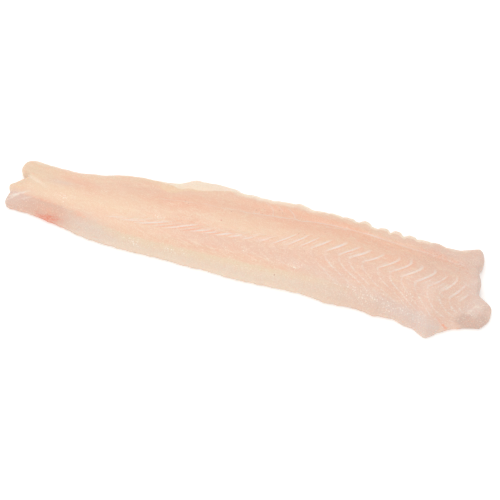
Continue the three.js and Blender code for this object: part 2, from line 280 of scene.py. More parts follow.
column_x = mix(TAIL_X, HEAD_X, column_u)
shoulder_line = np.minimum(SHOULDER_MOST, SHOULDER / (fold_line(column_x) - belly_edge(column_x)))
back_line = 3 - BACK_ROUND / (back_edge(column_x) - septum_line(column_x))
rows = [shoulder_line * step for step in arc_steps(SHOULDER_ROWS)[:-1]]
rows += [mix(shoulder_line, 1, k / BELLY_ROWS) for k in range(BELLY_ROWS)]
rows += [np.full_like(column_x, 1 + k / LOIN_ROWS) for k in range(LOIN_ROWS)]
rows += [mix(2, back_line, k / STRIP_ROWS) for k in range(STRIP_ROWS)]
rows += [3 - (3 - back_line) * step for step in arc_steps(BACK_ROWS)[::-1]]
line = np.array(rows).T
u = np.repeat(column_u[:, None], line.shape[1], axis=1)
x, y = plan_point(u, line)
fold = fold_of(x, line)

# ---- Height of the cut face ------------------------------------------------------------------------
# Thick and crowned down the loin, thin towards the back edge and the belly flap, with valleys that run
# in from the notches of the tail cut. Raw flesh is never even, so every surface swells and sinks a bit.

CROWN = [  # [x, height]
    [-215, 13.5], [-160, 18], [-90, 21], [0, 22.5], [80, 21.5], [140, 18.5], [185, 15], [215, 12.5],
]
ACROSS = [  # [share of the width from the belly edge, share of that height]
    [0, 0.72], [0.15, 0.84], [0.38, 1], [0.58, 0.95], [0.76, 0.72], [0.86, 0.66], [1, 0.42],
]
FLAP_THINNING = 0.62  # share of its height that the belly flap lacks at the head end
FLAP_X = (105, 185)  # where it thins
FLAP_SHARE = 0.5  # share of the width that it takes up
RIM_TOP = 3.6  # height of the rim from which the cut face rises
TAIL_CUT_SHARE = 0.12  # share of the height above the rim which the upright faces of the cuts keep
HEAD_CUT_SHARE = 0.35
TAIL_VALLEYS = [  # [share of the width, depth, half width, length, drift of that share]
    [0.595, 1.6, 3.4, 46, -0.14],
    [0.235, 1.4, 3, 32, 0.02],
    [0.44, 4, 6, 18, -0.04],
]
SEPTUM_DEPTH = 0.4
SEPTUM_HALF_WIDTH = 2.2
SEPTUM_X = (-70, 20)

# Each block climbs to a step at its sheet: how high on each part, and the lines between which it is there.
LOIN_STEP = 0.3
LOIN_LINES = (0.9, 1.08, 1.2, 1.48)
BELLY_STEP = 0.1
BELLY_LINES = (0.3, 0.7, 1, 2)
BELLY_STEP_LEAST = 0.25  # share of it at the tail end
BELLY_STEP_X = (-20, 110)
STRIP_STEP = 0.08
STRIP_LINES = (2, 2.3)
TAIL_FADE = (-8, 34)  # mm past the first sheet between which the steps and the white edges come in
CLIMB = 1.3  # 1 for an even climb, more for one that steepens
DROP = 1.8  # width of the step itself
BEAD = 0.16  # the sheet's own edge stands this proud of the step
BEAD_HALF_WIDTH = 0.5
CHANCE_SEED = 11
SHEET_STRENGTH = (0.75, 1.2)  # least and most that chance makes of a sheet
SHEET_SHIFT = (-0.05, 0.05)  # least and most by which chance moves the white edge along its sheet

SWELL = 0.3
SWELL_SIZE = 17
SWELL_SEED = 3
RIPPLE = 0.1
RIPPLE_SIZE = 4.5
RIPPLE_STRETCH = 0.6
RIPPLE_SEED = 8
CREASED = SCALLOPS[7:]  # deep enough to be parted by a crease
NOTCH_CREASE = 0.45
NOTCH_HALF_WIDTH = 1.6
NOTCH_REACH = (1, 6)  # how far in from the back edge it fades
NOTCH_FULL_RISE = 2  # rise of a scallop from which its crease has its full depth
LIP = [  # how far the thin cream lip reaches in from the back edge: [x, width]
    [-215, 0.8], [-125, 0.8], [-105, 2.5], [-92, 4], [-84, 6.2], [-78, 8], [-72.7, 10], [-70, 12],
    [-66, 15.4], [-60, 18], [-50, 18.6], [-42, 17.2], [-34.5, 14.8], [-29, 12.6], [-22, 9],
    [-17, 6.4], [-10, 5], [4, 4.6], [20, 4.4], [40, 3.8], [52, 2.8], [62, 1.2], [215, 0.5],
]
LIP_DROP = 0.5
LIP_SLOPE = 0.8  # how far it slopes on each side of its edge
LIP_LEAST = (1.6, 4)  # width at which it begins to stand out, and at which it fully does

crown = through(CROWN)
across_shape = through(ACROSS)
lip_width = through(LIP)


def bell(distance, half_width):
    """1 at no distance, falling softly on both sides."""
    return np.exp(-((distance / half_width) ** 2))


def uneven(x, y, size, seed):
    """Smooth chance heights between about -1 and 1, with swellings about `size` mm across."""
    places = zip(np.ravel(x) / size, np.ravel(y) / size)
    return np.array([noise.noise(Vector((a, b, seed))) for a, b in places]).reshape(np.shape(x))


sheet_xs = np.array(SHEET_XS, float)
block = np.clip(np.searchsorted(sheet_xs, fold, side="right") - 1, 0, len(sheet_xs) - 2)
block_start = sheet_xs[block]
block_length = sheet_xs[block + 1] - block_start
past_sheet = fold - block_start
phase = np.clip(past_sheet / block_length, 0, 1)
slant = 1 / np.sqrt(1 + stroke_sweep(fold) ** 2)  # mm across a sheet for each mm along the fillet
behind_sheet = np.clip(past_sheet, 0, block_length) * slant
before_next = np.abs(past_sheet - block_length) * slant
from_sheet = np.where(past_sheet < 0, -past_sheet, np.minimum(behind_sheet, before_next))
nearest_sheet = block + (phase > 0.5)

chance = random.Random(CHANCE_SEED)
draws = [np.array([chance.random() for _ in SHEET_XS]) for _ in range(3)]  # the second row goes unused
sheet_strength = mix(*SHEET_STRENGTH, draws[0])[nearest_sheet]
sheet_shift = mix(*SHEET_SHIFT, draws[2])[nearest_sheet]

width = back_edge(x) - belly_edge(x)
from_belly = y - belly_edge(x)
from_back = width - from_belly
share = np.clip(from_belly / (plain_back_edge(x) - belly_edge(x)), 0, 1)  # the scallops left out

height = crown(x) * across_shape(share)
flap = ramp(x, *FLAP_X) * (1 - ramp(share, 0, FLAP_SHARE))
height *= 1 - FLAP_THINNING * flap
for at, deep, half_width, long, drift in TAIL_VALLEYS:
    run = np.clip((x - TAIL_X) / long, 0, 1)
    height -= deep * (1 - ramp(run, 0, 1)) * bell((share - at - drift * run) * width, half_width)
height -= SEPTUM_DEPTH * ramp(x, *SEPTUM_X) * bell(y - septum_line(x), SEPTUM_HALF_WIDTH)

shown = ramp(fold - sheet_xs[0], *TAIL_FADE) * (1 - ramp(fold, sheet_xs[-3], sheet_xs[-1]))
on_loin = span(line, *LOIN_LINES)
on_belly = span(line, *BELLY_LINES) * mix(BELLY_STEP_LEAST, 1, ramp(x, *BELLY_STEP_X))
on_strip = ramp(line, *STRIP_LINES)
step = np.maximum.reduce([LOIN_STEP * on_loin, BELLY_STEP * on_belly, STRIP_STEP * on_strip])
step *= shown * sheet_strength
profile = phase**CLIMB + 0.5 - ramp(behind_sheet, 0, DROP)  # half above the crown's height, half below
height += step * profile + BEAD * on_loin * shown * bell(from_sheet, BEAD_HALF_WIDTH)

lip = ramp(lip_width(x) - from_back, -LIP_SLOPE, LIP_SLOPE) * ramp(lip_width(x), *LIP_LEAST)
height -= LIP_DROP * lip
for (left, _, _), (right, rise, _) in zip(CREASED, CREASED[1:]):
    crease = bell(x - (left + right) / 2, NOTCH_HALF_WIDTH) * (1 - ramp(from_back, *NOTCH_REACH))
    height -= NOTCH_CREASE * crease * min(1, rise / NOTCH_FULL_RISE)

height += SWELL * uneven(x, y, SWELL_SIZE, SWELL_SEED)
height += RIPPLE * uneven(x * RIPPLE_STRETCH, y, RIPPLE_SIZE, RIPPLE_SEED)
edges = rounding(from_belly, SHOULDER) * rounding(from_back, BACK_ROUND)
at_tail = mix(TAIL_CUT_SHARE, 1, rounding(u * LENGTH, TAIL_ROUND))
at_head = mix(HEAD_CUT_SHARE, 1, rounding((1 - u) * LENGTH, HEAD_ROUND))
z = mix(RIM_TOP, height, edges * at_tail * at_head)

# ---- Marks in the flesh ----------------------------------------------------------------------------
# What the knife lays bare is not one colour: the white edges of the sheets, blood-pink flesh along the
# septum, its white thread, the paler side under the arris, and the cream lip on the back edge. Some marks
# also paint light and shade: the shade under each sheet's edge, highlights along the edges, the lighter
# fringe behind the scallops and the wet glints.
# Each mark is a number on every point of the mesh, which the finish turns into colour.

STROKES = [  # each sheet's white edge on the loin, painted whiter as a highlight along its wet ridge, by SHEET_XS: [strength, half width in mm, reach]
    [0.6, 0.6, 0.24], [0.75, 0.6, 0.32], [0.8, 0.6, 0.3], [0.9, 0.65, 0.52], [0.5, 0.5, 0.36],
    [1, 0.75, 0.54], [0.5, 0.5, 0.36], [0.9, 0.7, 0.32], [0.8, 0.65, 0.26], [1, 0.75, 0.3],
    [0.9, 0.65, 0.28], [0.7, 0.6, 0.24], [0.7, 0.6, 0.28], [0.95, 0.56, 0.98], [0.95, 0.56, 0.96],
    [0.85, 0.52, 0.9], [0.95, 0.56, 0.92], [1, 0.72, 1.05], [0.85, 0.58, 1.08], [1, 0.7, 1.1],
    [0.9, 0.56, 1.06], [0.9, 0.58, 1.3], [0.85, 0.54, 1.42], [1, 0.64, 1.2], [1, 0.62, 1.38],
    [0.85, 0.54, 1.15], [1, 0.6, 1.2], [0.95, 0.58, 1.2], [0.8, 0.52, 0.8], [0.7, 0.5, 0.7],
    [0.6, 0.5, 0.6],
]
SHADOWS = [  # painted shade: orange-pink on the drop just under a sheet's white edge: [x, strength]
    [-131, 0.1], [-100, 0.3], [-85, 0.7], [-60, 1], [-45, 1], [-17, 1], [-5, 0.5], [30, 0.4],
    [70, 0.45], [150, 0.4], [205, 0.3],
]
SHADOW_OFF = 1.5
SHADOW_HALF_WIDTH = 1.2
LENS_LEAN = 0.9  # a stroke is widest in its middle: less than 1 moves that towards the fold
LENS_FULLNESS = 0.8
SHADOW_FULLNESS = 0.4
ARMS = [  # how clearly the belly arm of each sheet shows: [x where it folds, strength]
    [-60, 0], [55, 0.3], [80, 0.9], [110, 1.2], [145, 1.4], [165, 1.6], [185, 1.7], [205, 1.3],
]
ARM_HALF_WIDTH = 0.7
ARM_LINES = (0.05, 0.4, 1.02, 1.1)
ARM_DIM = 0.6  # how much of it is lost again near the fold
ARM_DIM_LINES = (0.72, 0.95)
HOOK = 0.07  # share of a stroke that lies below the fold
HAIR_PHASES = (0.42, 0.8)  # places in a block where finer white lines show
HAIR_CHOICES = [0, 0.35, 0.7, 1]  # strengths that chance picks from for each block
HAIR_REACH = 0.6
HAIR_HALF_WIDTH = 0.55
ARRIS = [  # the line where the pink cut face turns down into the pale skin side
    [-215, -11], [-205, -10.5], [-191, -12], [-170, -15.3], [-155, -17.4], [-139, -20.5],
    [-130, -23], [-114, -26.5], [-95, -28.5], [-70, -29.5], [30, -29.5], [45, -28], [70, -27.5],
    [110, -30], [150, -36], [175, -39], [215, -27],
]
ARRIS_WAVER = 0.5
ARRIS_WAVER_SIZE = 7
ARRIS_SEED = 2
THREAD = [  # the septum's white thread: [x, y, strength]
    [-77, 11.8, 0.3], [-72, 12.7, 0.45], [-60, 13.5, 0.4], [-48, 15, 0.4], [-39, 16.5, 0.5],
    [-36, 17.2, 0.9], [-32, 17, 0.5], [-25, 16.3, 0.4], [-16, 18.1, 0.5], [-9, 20, 0.5],
    [0, 19.5, 0.6], [7, 21.3, 0.75], [16.4, 22.2, 0.8], [24.5, 23.5, 0.8], [33, 24.5, 0.85],
    [40.5, 25.9, 0.7], [47, 25.5, 0.65], [51, 28.1, 1], [56, 28.8, 0.6], [62, 29.5, 0.8],
    [74, 30.7, 0.7], [90, 30.5, 0.65], [98, 30.5, 0.5], [106, 30.5, 0.9], [120, 29, 0.6],
    [133, 28, 0.6], [145, 27, 0.7], [156, 27, 0.6], [161, 25.5, 0.7], [170, 25.5, 0.6],
    [183, 23.3, 0.6], [193, 22.5, 0.5], [199, 22, 0],
]
VEINS = [  # finer threads that leave it: each a run of [x, y]
    [[11.8, 37.5], [17.3, 34.5], [20, 30], [20.5, 25.9], [21.8, 23.1]],
    [[31.8, 36.8], [37.3, 32.2], [40.5, 26.2]],
    [[22.7, 36.8], [27, 33.1]],
    [[67, 26], [76, 27.8], [85, 29.3]],
    [[4.5, 25.5], [4.5, 21.5]],
    [[9, 25.5], [9, 21.5]],
]
OCHRE = [  # how far the ochre-cream band reaches in from the back edge: [x, width]
    [-215, 3.3], [-140, 3.3], [-110, 8.8], [-88, 13.2], [-75, 22], [-62, 23.1], [-50, 22.55],
    [-35, 16.5], [-20, 13.2], [-10, 9.9], [10, 9.35], [40, 10.45], [60, 7.7], [78, 4.95],
    [97, 9.35], [113, 8.8], [126, 8.8], [138, 6.6], [150, 3.85], [170, 2.75], [215, 2.2],
]
OCHRE_SLOPE = 4
OCHRE_FADE = 0.5  # how much of it is lost towards the head
OCHRE_FADE_X = (120, 190)
LIP_SHOWN = (1.6, 4.5)  # width from which the cream of the lip shows, and shows fully
TIPS_REACH = (3.5, 9.5)  # how far in from the back edge the cream tips of the scallops fade
TIPS_X = (-30, -5, 140, 165)
TIPS_LEAST = 0.25
FRINGE_REACH = (8.5, 13.5)  # the paler fringe behind them: cream flesh painted lighter to make up for the shade where the back rim rounds down
FRINGE_X = (-34, -16, 44, 64)

# Soft-edged patches of other flesh: [x, y, half length, half width, degrees turned, strength].
PATCH_FALL = 0.8
PATCH_MOST = 1.2
PATCHES = {
    # The first pale patch is a painted highlight along the ridge that runs in from the tail cut's notch;
    # the second is a paler streak near the back edge.
    "pale": [[-191, 4.5, 12, 1.5, -24, 0.9], [-196, 31, 10, 1.5, 0, 0.4]],
    "rosy": [
        [-20, -25, 60, 3.6, 0, 0.8], [50, -20, 50, 7, -4, 0.35], [-46, -6, 13, 5, 0, 0.9],
        [-60, 9, 26, 7, 4, 0.7], [-150, 11, 26, 8, -12, 0.4], [150, -8, 50, 18, -8, 0.2],
    ],
    "pink": [
        [-152, 12, 22, 7, -12, 0.8], [-146, 10, 12, 5, -25, 0.4], [-90, 16, 26, 11, -4, 0.55],
        [-52, 14, 32, 8, 6, 1], [-62, 8, 12, 5, 0, 0.5], [-30, 25, 40, 8, 3, 0.45],
        [16, 30, 26, 8, 0, 0.85], [38, 24, 38, 9, 6, 1], [92, 24, 34, 6, 2, 0.95],
        [50, 13, 50, 7, 4, 0.5], [120, 19, 40, 6, -7, 0.6], [56, 34, 34, 6, -2, 0.8],
        [84, 33, 14, 5, -4, 0.6], [131, 7, 18, 6, -8, 0.7], [120, 24, 28, 4, -5, 0.6],
        [155, 24, 26, 3, -8, 0.4], [-45, -5, 12, 4, -4, 0.55],
    ],
    "mauve": [
        [15, -18, 50, 9, 0, 0.9], [-30, -19, 30, 8, 0, 0.6], [75, -16, 40, 10, -6, 0.85],
        [115, -14, 40, 11, -8, 0.6], [-60, 26, 30, 5, 6, 0.4], [-14, 37, 34, 6, 0, 0.35],
        [-96, 22, 26, 7, -4, 0.5], [150, 4, 40, 14, 0, 0.2], [96, -6, 16, 6, -8, 0.9],
    ],
    "gold": [
        [5, 2, 26, 9, 0, 0.8], [-16, 14, 14, 4, 0, 0.4], [-148, -7, 40, 8, -8, 0.9],
        [-90, 2, 24, 6, 0, 0.5], [-105, -8, 26, 5, -5, 0.7], [-196, 14, 20, 14, 0, 0.35],
    ],
    "olive": [[-196, 16, 24, 22, 0, 0.8], [-120, 32, 40, 5, 6, 0.35]],
    "lavender": [
        [-205, -16, 16, 6, 0, 0.75], [-128, -28, 22, 6, -12, 0.55], [-168, 7, 12, 3, 0, 0.4],
        [205, 4, 13, 26, 0, 0.85], [165, -43, 22, 8, -8, 0.9], [135, -34, 34, 6, -3, 0.65],
        [199, -20, 16, 6, 20, 0.4], [205, 40, 12, 12, 0, 0.4], [75, -25, 30, 5, -4, 0.3],
        [165, -10, 16, 12, 0, 0.3], [176, 31, 18, 7, -4, 0.3],
    ],
    "brown": [
        [184, 18, 22, 14, 0, 0.4], [203, -25, 13, 8, 8, 1.1], [201, 40, 12, 11, 0, 0.4],
        [-172, -21, 24, 5, -6, 0.8], [118, -40, 46, 6, -4, 0.45], [111, -34, 16, 4, -6, 0.2],
        [188, -4, 12, 10, 0, 0.3],
    ],
    "blood": [
        [-168.5, -26.4, 13, 1.8, -5, 0.82], [-176, -25, 7, 1.6, -4, 0.4], [-161, -25, 8, 1.5, -8, 0.4],
    ],
    "orange": [
        [-138, -22, 9, 2.6, -16, 0.5], [180, -35.5, 5, 1.1, -33, 1], [164, 27, 14, 3.4, -12, 0.5],
        [-180, -14.1, 14, 0.9, -9, 0.6], [-168, -22, 12, 3, -8, 0.35],
    ],
    "fibres": [
        [-202, -13, 8, 0.8, 25, 1], [-198, -12, 6, 0.7, 28, 0.8], [-206, -17, 6, 0.9, 32, 0.9],
        [-192, -15, 6, 0.6, 20, 0.6], [202, -12, 6, 0.8, 50, 0.8], [205, -16, 6, 0.8, 48, 0.9],
        [199, -17, 5, 0.7, 52, 0.6], [196, 4, 7, 0.6, 50, 0.5], [201, 12, 6, 0.7, 50, 0.6],
    ],
    "flap": [[200, -26, 11, 6, 8, 1.1], [209, -14, 5, 10, 0, 0.5]],
    "rust": [
        [199, -25.5, 6, 3.6, 0, 1], [168, 25, 15, 4, -10, 1], [190, 19, 12, 5, -10, 0.9],
        [-46, -6, 13, 6, 0, 0.5], [-98, 20, 14, 4, 0, 0.5], [-170, -22, 12, 3, -8, 0.6],
    ],
    "glint": [
        [-160, -9.5, 8, 3.4, -24, 1.2], [-128, 8, 6, 3, -20, 0.9], [-71, -7, 6, 3, -18, 1.2],
        [-82, -11, 3, 2.4, 0, 0.5], [-86, -33, 9, 2.4, 0, 1.2], [-49, -32.6, 8, 2.2, 0, 1.2],
        [148, -21, 9, 4.5, -20, 0.85], [54, -23, 8, 5, 0, 0.6], [100, -31, 18, 7, -8, 0.55],
        [128, -33, 20, 7, -8, 0.62], [8, 2, 24, 9, 0, 0.42], [24, -23, 40, 5, 0, 0.35],
        [-24, -22, 40, 5, 0, 0.35], [160, -37, 18, 6, -20, 0.6], [200, -18, 8, 5, 20, 0.7],
        [20, -33.5, 50, 2.6, 0, 0.5],
    ],
    "grit": [
        [115, 20.5, 20, 4, -4, 0.8], [155, 18, 14, 7, 0, 1], [168, 29, 15, 4, 0, 1],
        [192, 21, 10, 8, 0, 0.9], [198, -27, 8, 5, 0, 0.9], [-46, -6, 12, 5, 0, 0.5],
        [-200, 12, 16, 16, 0, 0.35],
    ],
}
FAR = 9  # distances of a mark are cut off here, far past where it ends
SIDE_FAR = 12

stroke_strength, stroke_width, stroke_reach = np.array(STROKES)[nearest_sheet].transpose(2, 0, 1)
hair_strength = np.array([chance.choice(HAIR_CHOICES) for _ in SHEET_XS])[block]
shadow_show = through(SHADOWS)
arm_show = through(ARMS)
arris = through(ARRIS)
ochre_width = through(OCHRE)


def patch(at_x, at_y, half_length, half_width, turned, strength):
    """One soft-edged patch, as a number on every point."""
    angle = math.radians(turned)
    lengthwise = (x - at_x) * math.cos(angle) + (y - at_y) * math.sin(angle)
    crosswise = (y - at_y) * math.cos(angle) - (x - at_x) * math.sin(angle)
    off = (lengthwise / half_length) ** 2 + (crosswise / half_width) ** 2
    return strength * np.exp(-off * PATCH_FALL)


def run_distance(points):
    """Distance in mm to a run of straight pieces, and the value there of what follows x and y."""
    points = np.array(points, float)
    nearest = np.full_like(x, np.inf)
    value = np.zeros_like(x)
    for start, end in zip(points, points[1:]):
        piece = end[:2] - start[:2]
        t = np.clip(((x - start[0]) * piece[0] + (y - start[1]) * piece[1]) / (piece @ piece), 0, 1)
        distance = np.hypot(x - start[0] - t * piece[0], y - start[1] - t * piece[1])
        closer = distance < nearest
        nearest = np.where(closer, distance, nearest)
        value = np.where(closer, mix(start[-1], end[-1], t), value)
    return nearest, value


on_stroke = mix(HOOK, 1, (line - 1) / (STROKE_REACH * stroke_reach)) + sheet_shift
lens = np.sin(np.clip(on_stroke, 0, 1) ** LENS_LEAN * math.pi) ** LENS_FULLNESS
# Painted shade: an orange-pink band on the head side of each sheet, where its step drops away from the
# light.
painted_shade_under_edge = bell(behind_sheet - SHADOW_OFF, SHADOW_HALF_WIDTH) * lens**SHADOW_FULLNESS
hair = np.sin(np.clip((line - 1) / (STROKE_REACH * HAIR_REACH), 0, 1) * math.pi) * hair_strength
hair_off = np.min([np.abs(phase - at) for at in HAIR_PHASES], axis=0) * block_length * slant
arm = span(line, *ARM_LINES) * (1 - ARM_DIM * ramp(line, *ARM_DIM_LINES)) * arm_show(fold)
thread_off, thread_strength = run_distance(THREAD)
vein_off = np.min([run_distance(vein)[0] for vein in VEINS], axis=0)
below_arris = arris(x) + ARRIS_WAVER * uneven(x, np.zeros_like(x), ARRIS_WAVER_SIZE, ARRIS_SEED) - y
ochre = ramp(ochre_width(x) - from_back, 0, OCHRE_SLOPE)

MARKS = {
    "stroke_off": np.minimum(from_sheet / stroke_width, FAR),
    "stroke": stroke_strength * lens * shown,
    "shadow": painted_shade_under_edge * shadow_show(fold) * shown,
    "hair": hair * shown * bell(hair_off, HAIR_HALF_WIDTH),
    "arm": arm * sheet_strength * bell(from_sheet, ARM_HALF_WIDTH),
    "thread_off": np.minimum(thread_off, FAR),
    "thread": thread_strength,
    "vein_off": np.minimum(vein_off, FAR),
    "lip_edge": np.clip(lip_width(x) - from_back, -FAR, FAR),
    "lip_show": ramp(lip_width(x), *LIP_SHOWN),
    "tips": (1 - ramp(from_back, *TIPS_REACH)) * mix(TIPS_LEAST, 1, span(x, *TIPS_X)),
    "ochre": ochre * (1 - OCHRE_FADE * ramp(x, *OCHRE_FADE_X)),
    "fringe": (1 - ramp(from_back, *FRINGE_REACH)) * span(x, *FRINGE_X),
    "below_arris": np.clip(below_arris, -SIDE_FAR, SIDE_FAR),
    "along": (x - TAIL_X) / LENGTH,
}
for name, spread in PATCHES.items():
    MARKS[name] = np.minimum(PATCH_MOST, sum(patch(*values) for values in spread))

# ---- The fillet in one piece -----------------------------------------------------------------------
# The cut face goes over a thin rim on all sides and rounds in under it to the flat side that the skin
# came off, which lies on the table. One closed mesh, placed over the solid that it stands for.

MM = 0.001
RIM_BOTTOM = 0.6
UNDER_ROUND = 2
UNDER_STEPS = [0, 0.03, 0.11, 0.25, 0.42, 0.65, 1]  # shares of UNDER_ROUND by which the rim is drawn in
MIDDLE_Y = 1.5  # where the middle of the solid's box lies in this plan


def inset_point(u, line, inset):
    """The place in plan of a rim point after the whole outline is drawn in by `inset`."""
    x = mix(TAIL_X, HEAD_X, u)
    at_belly = inset / (fold_line(x) - belly_edge(x))
    at_back = 3 - inset / (back_edge(x) - septum_line(x))
    return plan_point(mix(inset / LENGTH, 1 - inset / LENGTH, u), mix(at_belly, at_back, line / 3))


shape = bmesh.new()
columns, row_count = line.shape
bmesh.ops.create_grid(shape, x_segments=columns - 1, y_segments=row_count - 1, size=1)
on_length = shape.verts.layers.float.new("on_length")
on_width = shape.verts.layers.float.new("on_width")
layers = {name: shape.verts.layers.float.new(name) for name in MARKS}
for vert in shape.verts:
    i = round((vert.co.x + 1) / 2 * (columns - 1))
    j = round((vert.co.y + 1) / 2 * (row_count - 1))
    vert.co = (x[i, j], y[i, j], z[i, j])
    vert[on_length] = u[i, j]
    vert[on_width] = line[i, j]
    for name, mark in MARKS.items():
        vert[layers[name]] = mark[i, j]

edge_loop = [edge for edge in shape.edges if edge.is_boundary]
for under in UNDER_STEPS:
    made = bmesh.ops.extrude_edge_only(shape, edges=edge_loop)["geom"]
    edge_loop = [item for item in made if isinstance(item, bmesh.types.BMEdge) and item.is_boundary]
    lower = [item for item in made if isinstance(item, bmesh.types.BMVert)]
    lower_u = np.array([vert[on_length] for vert in lower])
    lower_line = np.array([vert[on_width] for vert in lower])
    lower_height = RIM_BOTTOM * (1 - rounding(under, 1))
    for vert, at_x, at_y in zip(lower, *inset_point(lower_u, lower_line, under * UNDER_ROUND)):
        vert.co = (at_x, at_y, lower_height)
bmesh.ops.triangle_fill(shape, edges=edge_loop, use_beauty=True)
bmesh.ops.recalc_face_normals(shape, faces=shape.faces)
for face in shape.faces:
    face.smooth = True

solid_low, solid_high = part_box("fillet")
middle = Vector((0, MIDDLE_Y, 0))
bmesh.ops.translate(shape, verts=shape.verts, vec=-middle)
bmesh.ops.scale(shape, verts=shape.verts, vec=(MM, MM, MM))
bmesh.ops.translate(shape, verts=shape.verts, vec=((solid_low + solid_high) / 2 * Vector((1, 1, 0))))

flesh_mesh = bpy.data.meshes.new("fillet_flesh")
shape.to_mesh(flesh_mesh)
shape.free()
fillet = bpy.data.objects.new("fillet_flesh", flesh_mesh)
bpy.context.scene.collection.objects.link(fillet)
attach(fillet, "root")
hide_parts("fillet")

# ---- The finish of raw flesh -----------------------------------------------------------------------
# Moist raw white flesh: cream to pale pink, a little see-through, with a satin shine that breaks up into
# small wet glints, which are also painted into the colour as pale specks. The marks above place the
# colours, and chance patterns mottle, grain and fray them.


class Flow:
    """A value, colour or vector on its way through a material. Python's operators add Math nodes."""

    def __init__(self, tree, socket):
        self.tree = tree
        self.socket = socket

    def node(self, kind, settings=None, sockets=None, output=0):
        """A node of any kind: its settings first, then the values or links of its sockets."""
        made = self.tree.nodes.new(kind)
        for name, value in (settings or {}).items():
            setattr(made, name, value)
        for name, value in (sockets or {}).items():
            if isinstance(value, Flow):
                self.tree.links.new(value.socket, made.inputs[name])
            else:
                made.inputs[name].default_value = value
        return Flow(self.tree, made.outputs[output])

    def maths(self, operation, first, second):
        return self.node("ShaderNodeMath", {"operation": operation}, {0: first, 1: second})

    def __add__(self, other):
        return self.maths("ADD", self, other)

    def __radd__(self, other):
        return self.maths("ADD", other, self)

    def __sub__(self, other):
        return self.maths("SUBTRACT", self, other)

    def __rsub__(self, other):
        return self.maths("SUBTRACT", other, self)

    def __mul__(self, other):
        return self.maths("MULTIPLY", self, other)

    def __rmul__(self, other):
        return self.maths("MULTIPLY", other, self)

    def ramp(self, start, end):
        """0 at `start`, 1 at `end`, smooth between; `start` may be the higher of the two."""
        if start > end:
            return 1 - self.ramp(end, start)
        return self.node(
            "ShaderNodeMapRange",
            {"interpolation_type": "SMOOTHSTEP"},
            {"Value": self, "From Min": start, "From Max": end},
        )


def paint(red, green, blue):
    """A colour given as 0 to 255 of each light, as a shader wants it."""
    lights = [c / 255 for c in (red, green, blue)]
    return [c / 12.92 if c <= 0.04045 else ((c + 0.055) / 1.055) ** 2.4 for c in lights] + [1]


finish = bpy.data.materials.new("raw_flesh")
finish.use_nodes = True
tree = finish.node_tree
tree.nodes.clear()
place = Flow(tree, tree.nodes.new("ShaderNodeTexCoord").outputs["Object"])


def mark(name):
    """One of the marks in the flesh, by its name."""
    made = tree.nodes.new("ShaderNodeAttribute")
    made.attribute_name = name
    return Flow(tree, made.outputs["Fac"])


def chance_pattern(size, stretch, seed, turned=0, detail=2):
    """Smooth noise from 0 to 1 with patches about `size` mm across, drawn out by `stretch` along a
    direction `turned` degrees from the length."""
    facing = place.node(
        "ShaderNodeMapping",
        {},
        {"Vector": place, "Rotation": (0, 0, -math.radians(turned)), "Location": (seed, seed, seed)},
    )
    drawn_out = place.node("ShaderNodeMapping", {}, {"Vector": facing, "Scale": (1 / stretch, 1, 1)})
    return place.node(
        "ShaderNodeTexNoise",
        {"noise_dimensions": "3D"},
        {"Vector": drawn_out, "Scale": 1 / (size * MM), "Detail": detail, "Roughness": 0.5},
    )


def crumbs(size, seed):
    """Distance from the middle of the nearest of many scattered grains, about `size` mm apart."""
    moved = place.node("ShaderNodeMapping", {}, {"Vector": place, "Location": (seed, seed, seed)})
    return place.node("ShaderNodeTexVoronoi", {}, {"Vector": moved, "Scale": 1 / (size * MM)})


def wander(value, pattern, by):
    """`value` moved up and down by a chance pattern, through `by` in all."""
    return value + (pattern - 0.5) * by


def over(under, colour, amount):
    """`colour` laid over `under` by `amount`."""
    return place.node(
        "ShaderNodeMix",
        {"data_type": "RGBA", "clamp_factor": True},
        {0: amount, 6: under, 7: colour},
        output=2,
    )


LOIN = paint(239, 204, 177)
PINK = paint(240, 190, 162)
MAUVE = paint(232, 194, 172)
GOLD = paint(240, 208, 178)
OLIVE = paint(234, 208, 178)
OCHRE_CREAM = paint(240, 208, 174)
LIP_CREAM = paint(247, 227, 204)
TIP_CREAM = paint(248, 228, 205)
FRINGE_CREAM_PAINTED_LIGHTER = paint(255, 242, 222)
SIDE_OLIVE = paint(233, 209, 182)
SIDE_PALE = paint(231, 210, 190)
NEAR_MAUVE_SHADE = paint(222, 184, 165)
LAVENDER = paint(223, 202, 192)
FLAP_GREY = paint(208, 180, 166)
BROWN = paint(222, 185, 166)
HEAD_MAUVE = paint(231, 196, 178)
SHEET_WHITE = paint(241, 226, 215)
SHADOW_ORANGE = paint(240, 181, 152)
THREAD_WHITE = paint(238, 214, 202)
BLOOD_RED = paint(226, 138, 116)
ORANGE = paint(240, 173, 144)
GLINT_CREAM = paint(253, 243, 232)
GRAIN_PALE = paint(249, 228, 208)
GRAIN_DEEP = paint(235, 182, 152)
GRIT_GREY = paint(196, 160, 145)
SPOT_BROWN = paint(196, 140, 118)
SPOT_RED = paint(222, 120, 104)

mottle = chance_pattern(size=9, stretch=2.4, detail=3, seed=0.3)
blotch = chance_pattern(size=4, stretch=2, detail=3, seed=1.3)
grain = chance_pattern(size=1.3, stretch=3, seed=0.7)
fibre = chance_pattern(size=0.7, stretch=9, turned=-8, seed=2.6)
fray = chance_pattern(size=1.6, stretch=3, turned=30, seed=3.1)
streak = chance_pattern(size=1.7, stretch=5, turned=-12, detail=3, seed=4.4)
powder = chance_pattern(size=0.75, stretch=1.4, detail=1, seed=6.3)
speck = crumbs(size=2.2, seed=1.9)
fine_speck = crumbs(size=1.5, seed=5.2)

# The pale side begins sharply at the arris on the tail half and softly at the head end, in mm below it.
along = mark("along")
below = mark("below_arris")
sharp_side = wander(below, blotch, 1.6).ramp(-0.6, 1.8)
soft_side = wander(below, blotch, 5).ramp(-3, 6)
side = sharp_side + along.ramp(0.56, 0.74) * (soft_side - sharp_side)
rim_side = wander(below, blotch, 2).ramp(2, 7)
# The near wall at the tail end: pinkish-grey flesh, painted darker as shade because it faces away from the
# light.
shaded_tail_side = side * along.ramp(0.2, 0.12)
